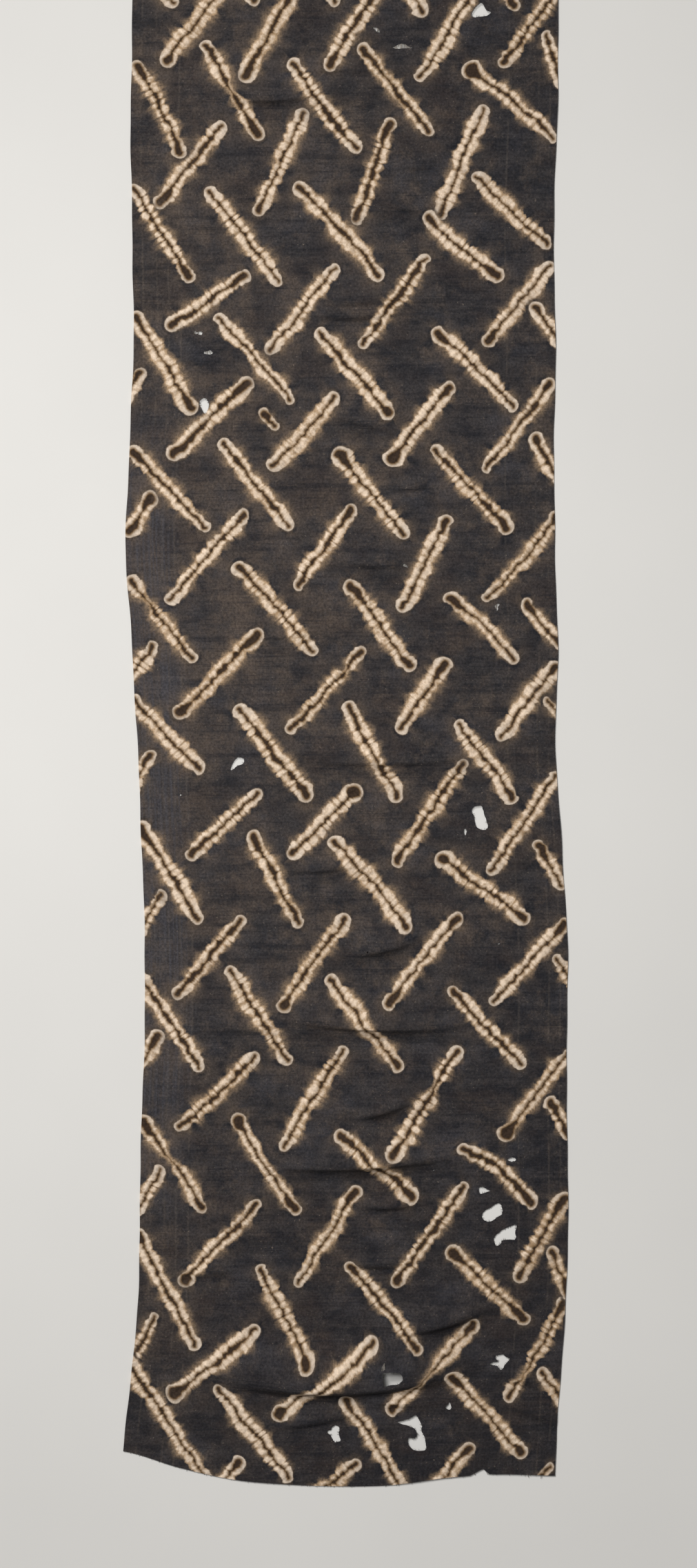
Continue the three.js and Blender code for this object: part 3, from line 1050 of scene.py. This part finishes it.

    # Dye creeps into the cloth outside the long sides, unevenly. A dark rim round the dash is partly pooled
    # dye and partly painted shade.
    spread = noise(flat_vector(along * 0.05, aside * 0.03 + side_lane), 1.0, 1.0)
    reach_out = blend(spread, 0.3, 0.7, 2.5, 13.0) * breadth**3.0
    bleed = maths("MAXIMUM", 1.0 - beyond / reach_out, 0.0)
    bleed = maths("MINIMUM", bleed, 1.0) ** 2.0 * calm
    halo = fading(beyond, 0.0, 30.0) * blend(spread, 0.34, 0.62)
    rim_dye_and_shade = fading(beyond, 1.5, 6.0) * (tail * 0.5 + 0.25)
    edge = blend(beyond, -4.2, 0.8)

    # Each side darkens down to the line, partly dye seeping in beside it and partly painted shade of the
    # puckers' slope, and the gaps between the lobes are painted brown shade to most of their depth.
    painted_gap_shade = painted_gap_shade * blend(beyond, -6.0, -1.0, 0.48, 0.22)
    valley_dye_and_shade = maths("MAXIMUM", fading(off_rim, 0.0, 6.0) ** 1.6 * 0.95, painted_gap_shade)
    inside = fading(off_rim, -2.4, -0.4)
    values = (pale, line, bleed, pucker_light_and_shade, tail, edge, rim_dye_and_shade, valley_dye_and_shade, dull, halo, inside)
    set_inputs(result, dict(zip(DASH_OUTPUTS, values)))
    return tree


def pucker_rise(place):
    """Low relief of one dash: a ridge down each side of the line, gathered by a sine every eleven
    millimetres, that dies away at the sides and at the ends."""
    along, aside, half = split_vector(place)
    far = abs(aside)
    ridge = blend(far, 0.5, 5.0) * fading(far, 6.0, 12.0) * blend(half - abs(along), 0.0, 9.0)
    gathers = maths("SINE", far * 0.06 + along * 0.58)
    return ridge * (gathers * 0.3 + 0.7)


def bump(height, strength, distance, **under):
    """Bump node, on top of another one's normal where that is given."""
    given = {"Height": height, "Strength": strength, "Distance": distance, **under}
    return Wire(make_node(tree_of(height), "ShaderNodeBump", given).outputs[0])


def dyed_cloth_material(colours, sizes):
    """Dyed plain weave: a mottled dark ground with yarn streaks, two families of stitched dashes over it,
    and a bump of crossing sines for the weave with the puckers on top."""
    material, tree, shader = new_material("dyed_plain_weave")
    strip = attribute(tree, "strip_place", "Vector")
    x, y, _ = split_vector(strip)

    def strip_noise(rate_x, rate_y, detail, roughness=0.5):
        """Noise on the strip, at one rate per millimetre across it and another along it."""
        return noise(flat_vector(x * rate_x, y * rate_y), 1.0, detail, roughness)

    # Dark ground: deep and thin dye in patches, and worn brown in mottles, strongest up the left side.
    patch = strip_noise(0.028, 0.05, 6.0, 0.76)
    mottle = noise(strip, 0.016, 6.0, 0.76)
    from_middle = (y - FADED_MIDDLE) * MM
    faded = from_middle * from_middle * -0.6 + 0.6 - x * 0.0013
    stain = attribute(tree, "stain", "Fac")
    thinned = patch + faded * 0.12 + stain * 0.09
    worn = mottle + faded * 0.15 + stain * 0.13
    ground = mixed(blend(thinned, 0.34, 0.68), colours.ground_deep, colours.ground_thin)
    ground = mixed(blend(worn, 0.50, 0.84), ground, colours.ground_warm)

    # The dye leans to brown or to grey by place, and is browner towards both ends.
    cast = strip_noise(0.011, 0.014, 3.0, 0.6)
    near_end = blend(abs(from_middle), 0.55, 1.2, 0.0, 0.14)
    ground = mixed(blend(cast, 0.5, 0.72, 0.0, 0.36) + near_end, ground, colours.ground_brown)
    ground = mixed(blend(cast, 0.48, 0.26, 0.0, 0.3), ground, colours.ground_grey)

    # Yarns of uneven tone, slubs and bands along the weft, and bare warp up the left side.
    warp_streak = strip_noise(0.3, 0.004, 4.0, 0.65)
    weft_streak = strip_noise(0.012, 0.4, 4.0, 0.65)
    band = strip_noise(0.005, 0.08, 3.0, 0.6)
    for streak, low, high, share, dye in (
        (warp_streak, 0.5, 0.78, 0.4, colours.ground_thin),
        (weft_streak, 0.52, 0.76, 0.5, colours.ground_thin),
        (weft_streak, 0.48, 0.26, 0.6, colours.ground_deep),
        (band, 0.5, 0.3, 0.5, colours.ground_deep),
    ):
        ground = mixed(blend(streak, low, high, 0.0, share), ground, dye)
    left_side = fading(x, -256.0, -216.0) * blend(y, 300.0, 560.0) * blend(y, 1540.0, 1340.0)
    bare_warp = left_side * blend(warp_streak, 0.38, 0.64, 0.12, 0.6)
    ground = mixed(bare_warp, ground, colours.ground_grey)

    # A few pale warp yarns near the selvedges, and pale specks.
    yarn_line = 0.0
    for line, strength in PALE_YARNS:
        yarn_line = maths("MAXIMUM", blend(abs(x - line), 0.3, 2.4, strength, 0.0), yarn_line)
    broken = blend(noise(strip, 0.02, 4.0), 0.36, 0.56)
    ground = mixed(yarn_line * broken, ground, colours.ground_worn)
    speck = noise(strip, 0.26, 2.0, 0.6) + patch * 0.4
    colour = mixed(blend(speck, 0.92, 1.02, 0.0, 0.6), ground, colours.ground_worn)

    # Stitched dashes over the ground, each with its bleed, its pale puckers and its dye line. The dye creeps
    # along the yarns.
    pale_grain = noise(strip, 0.22, 4.0, 0.68)
    creep = maths("MINIMUM", strip_noise(0.09, 0.42, 1.0), strip_noise(0.42, 0.09, 1.0))
    breadth = blend(y, 80.0, 900.0, 0.94, 1.0) - x * 0.0001
    halo_share = blend(faded, -0.3, 0.6, 0.12, 0.48)
    # The dashes turn duller towards the lower right.
    duller_lower_right = blend(x, 40.0, 260.0) * blend(y, 640.0, 120.0, 0.0, 0.12)
    group = dash_group()
    puckers = 0.0
    undyed = 0.0
    for lean in LEANS:
        place = attribute(tree, f"{lean}_dash", "Vector")
        form = attribute(tree, f"{lean}_form", "Vector")
        dash = tree.nodes.new("ShaderNodeGroup")
        dash.node_tree = group
        set_inputs(dash, dict(zip(DASH_INPUTS, (place, form, creep, breadth))))
        values = (Wire(dash.outputs[name]) for name in DASH_OUTPUTS)
        pale, line, bleed, pucker_light_and_shade, tail, edge, rim_dye_and_shade, valley_dye_and_shade, dull, halo, inside = values
        # The pale tint carries the painted light and shade of the puckers' lumps and notches.
        shade = pale_grain - pucker_light_and_shade * 0.3 + dull * 0.2 + edge * 0.38 + duller_lower_right
        tint = mixed(blend(shade, 0.42, 1.05), colours.cream, colours.tan)
        tint = mixed(tail * 0.7, tint, colours.cream_grey)
        # Brown beside the line is partly dye and partly painted shade; brown in the gaps between the lobes is
        # painted shade.
        tint = mixed(valley_dye_and_shade, tint, colours.valley_dye_and_shade)
        seam = mixed(inside * 0.42, colours.stitch_line, colours.ground_deep)
        colour = mixed(halo * halo_share, colour, colours.ground_warm)
        # Dark rim round each dash: partly pooled dye, partly painted shade.
        colour = mixed(rim_dye_and_shade, colour, colours.ground_deep)
        colour = mixed(bleed * blend(creep, 0.3, 0.62, 1.05, 0.6), colour, colours.bleed)
        colour = mixed(pale, colour, tint)
        colour = mixed(line, colour, seam)
        undyed = maths("MAXIMUM", pale - line, undyed)
        puckers = pucker_rise(place) + puckers

    # A fine grain over all the dyes, and the weave's bump under the puckers' bump.
    grain = (noise(strip, 0.3, 4.0, 0.75) - 0.5) * blend(undyed, 0.0, 1.0, 2.0, 0.8) + 1.0
    shaded = tree.nodes.new("ShaderNodeVectorMath")
    shaded.operation = "SCALE"
    set_inputs(shaded, {"Vector": colour, "Scale": grain})
    drift = noise(strip, 0.05)
    turn = np.pi * MM / sizes.yarn_pitch
    weave = maths("SINE", x * turn + drift * 9.0) * maths("SINE", y * turn - drift * 7.0)
    surface = {
        "Base Color": Wire(shaded.outputs[0]),
        "Normal": bump(puckers, 0.5, 0.002, Normal=bump(weave, 0.3, 0.0003)),
        "Roughness": blend(patch, 0.3, 0.7, 0.82, 0.96),
        "Specular IOR Level": 0.12,
        "Sheen Weight": 0.04,
        "Sheen Roughness": 0.45,
    }
    set_inputs(shader, surface)
    return material


def object_place(tree):
    """Place in the object's own coordinates."""
    return Wire(tree.nodes.new("ShaderNodeTexCoord").outputs["Object"])


def loose_yarn_material(colours):
    """Dyed yarn, each one between the thin ground's colour and the bare yarn's, with a fine grain."""
    material, tree, shader = new_material("loose_yarn")
    grain = noise(object_place(tree), 900.0, 3.0)
    tone = attribute(tree, "yarn_tone", "Fac") + grain * 0.5
    colour = mixed(blend(tone, 0.3, 1.3), colours.ground_thin, colours.yarn)
    roughness = blend(grain, 0.3, 0.7, 0.8, 0.95)
    set_inputs(shader, {"Base Color": colour, "Roughness": roughness, "Specular IOR Level": 0.12})
    return material


def floor_material(colours):
    """Pale floor with a very faint cloudiness."""
    material, tree, shader = new_material("pale_floor")
    cloud = noise(object_place(tree), 3.0, 4.0)
    paler = [min(1.0, c * 1.03) for c in colours.floor]
    duller = [c * 0.97 for c in colours.floor]
    colour = mixed(cloud, duller, paler)
    set_inputs(shader, {"Base Color": colour, "Roughness": 0.85, "Specular IOR Level": 0.2})
    return material


# Stage: the floor in metres, and the middle and the height of the view in millimetres on the flat strip.
FLOOR_HALF = 80.0
FLOOR_DROP = 0.0004
VIEW_MIDDLE = (3.6, 979.7)
VIEW_HEIGHT = 2187.9


def turned_to(heading):
    """Turn of a light that shines along a heading."""
    return Vector(heading).to_track_quat("-Z", "Y").to_euler()


# Operators


class DYEDCLOTH_OT_weave_panel(bpy.types.Operator):
    """Weave and dye the panel, in its folds and with its worn holes"""

    bl_idname = "dyed_cloth.weave_panel"
    bl_label = "Weave panel"

    def execute(self, context):
        sizes = context.scene.dyed_cloth_sizes
        panel = woven_panel(sizes)
        panel.data.materials.append(dyed_cloth_material(context.scene.dyed_cloth_colours, sizes))
        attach(panel, "root")
        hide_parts("cloth")
        return {"FINISHED"}


class DYEDCLOTH_OT_fray_edges(bpy.types.Operator):
    """Fray the torn edges into loose yarns, and finish the sheet with them"""

    bl_idname = "dyed_cloth.fray_edges"
    bl_label = "Fray edges"

    def execute(self, context):
        sizes = context.scene.dyed_cloth_sizes
        yarns = loose_yarns(sizes)
        yarns.data.materials.append(loose_yarn_material(context.scene.dyed_cloth_colours))
        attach(yarns, "root")
        return {"FINISHED"}


class DYEDCLOTH_OT_lay_stage(bpy.types.Operator):
    """Lay the pale floor, light it softly and set the camera above the cloth"""

    bl_idname = "dyed_cloth.lay_stage"
    bl_label = "Lay stage"

    def execute(self, context):
        scene = context.scene
        corners = np.array(((-1, -1, 0), (1, -1, 0), (1, 1, 0), (-1, 1, 0))) * FLOOR_HALF
        corners[:, 2] = CLOTH_LOW.z - FLOOR_DROP
        floor = new_mesh_object("floor", corners, np.arange(4), np.array((4,)))
        floor.data.materials.append(floor_material(scene.dyed_cloth_colours))
        world = bpy.data.worlds.new("soft_room")
        world.use_nodes = True
        sky = {"Color": (1.0, 0.99, 0.97, 1.0), "Strength": 0.15}
        set_inputs(world.node_tree.nodes["Background"], sky)
        scene.world = world
        window = bpy.data.lights.new("window_light", "SUN")
        window.energy = 1.6
        window.angle = np.radians(14)
        window.color = (1.0, 0.985, 0.96)
        add_object("window_light", window).rotation_euler = turned_to((0.55, -0.9, -0.78))
        lamp = bpy.data.lights.new("soft_box", "AREA")
        lamp.shape = "RECTANGLE"
        lamp.size = 1.2
        lamp.size_y = 1.2
        lamp.energy = 37
        lamp.color = (1.0, 0.99, 0.97)
        lamp_object = add_object("soft_box", lamp)
        lamp_object.location = (-0.875, 0.425, 2.4)
        lamp_object.rotation_euler = turned_to(-lamp_object.location)
        camera = bpy.data.cameras.new("camera")
        camera.lens = 70
        camera.sensor_width = 36
        scene.camera = add_object("camera", camera)
        middle = to_frame(np.array((*VIEW_MIDDLE, 0.0)))
        scene.camera.location = (middle[0], middle[1], camera.lens / camera.sensor_width * VIEW_HEIGHT * MM)
        scene.view_settings.view_transform = "Standard"
        scene.view_settings.look = "None"
        return {"FINISHED"}


class DYEDCLOTH_PT_sidebar(bpy.types.Panel):
    """Sidebar panel with the makers of the cloth and its sizes and colours"""

    bl_idname = "DYEDCLOTH_PT_sidebar"
    bl_label = "Dyed cloth"
    bl_space_type = "VIEW_3D"
    bl_region_type = "UI"
    bl_category = "Dyed cloth"

    def draw(self, context):
        layout = self.layout
        for name in STEPS:
            layout.operator(name)
        for group in (context.scene.dyed_cloth_sizes, context.scene.dyed_cloth_colours):
            for name in group.bl_rna.properties.keys():
                if name not in ("rna_type", "name"):
                    layout.prop(group, name)


STEPS = ("dyed_cloth.weave_panel", "dyed_cloth.fray_edges", "dyed_cloth.lay_stage")
CLASSES = (
    ClothSizes,
    ClothColours,
    DYEDCLOTH_OT_weave_panel,
    DYEDCLOTH_OT_fray_edges,
    DYEDCLOTH_OT_lay_stage,
    DYEDCLOTH_PT_sidebar,
)


def register():
    """Adds the classes and the scene's sizes and colours."""
    for cls in CLASSES:
        bpy.utils.register_class(cls)
    bpy.types.Scene.dyed_cloth_sizes = bpy.props.PointerProperty(type=ClothSizes)
    bpy.types.Scene.dyed_cloth_colours = bpy.props.PointerProperty(type=ClothColours)


def unregister():
    """Takes away what register added."""
    del bpy.types.Scene.dyed_cloth_sizes
    del bpy.types.Scene.dyed_cloth_colours
    for cls in reversed(CLASSES):
        bpy.utils.unregister_class(cls)


def main():
    """Makes every piece in order."""
    register()
    bpy.ops.dyed_cloth.weave_panel()
    bpy.ops.dyed_cloth.fray_edges()
    bpy.ops.dyed_cloth.lay_stage()


if __name__ == "__main__":
    main()
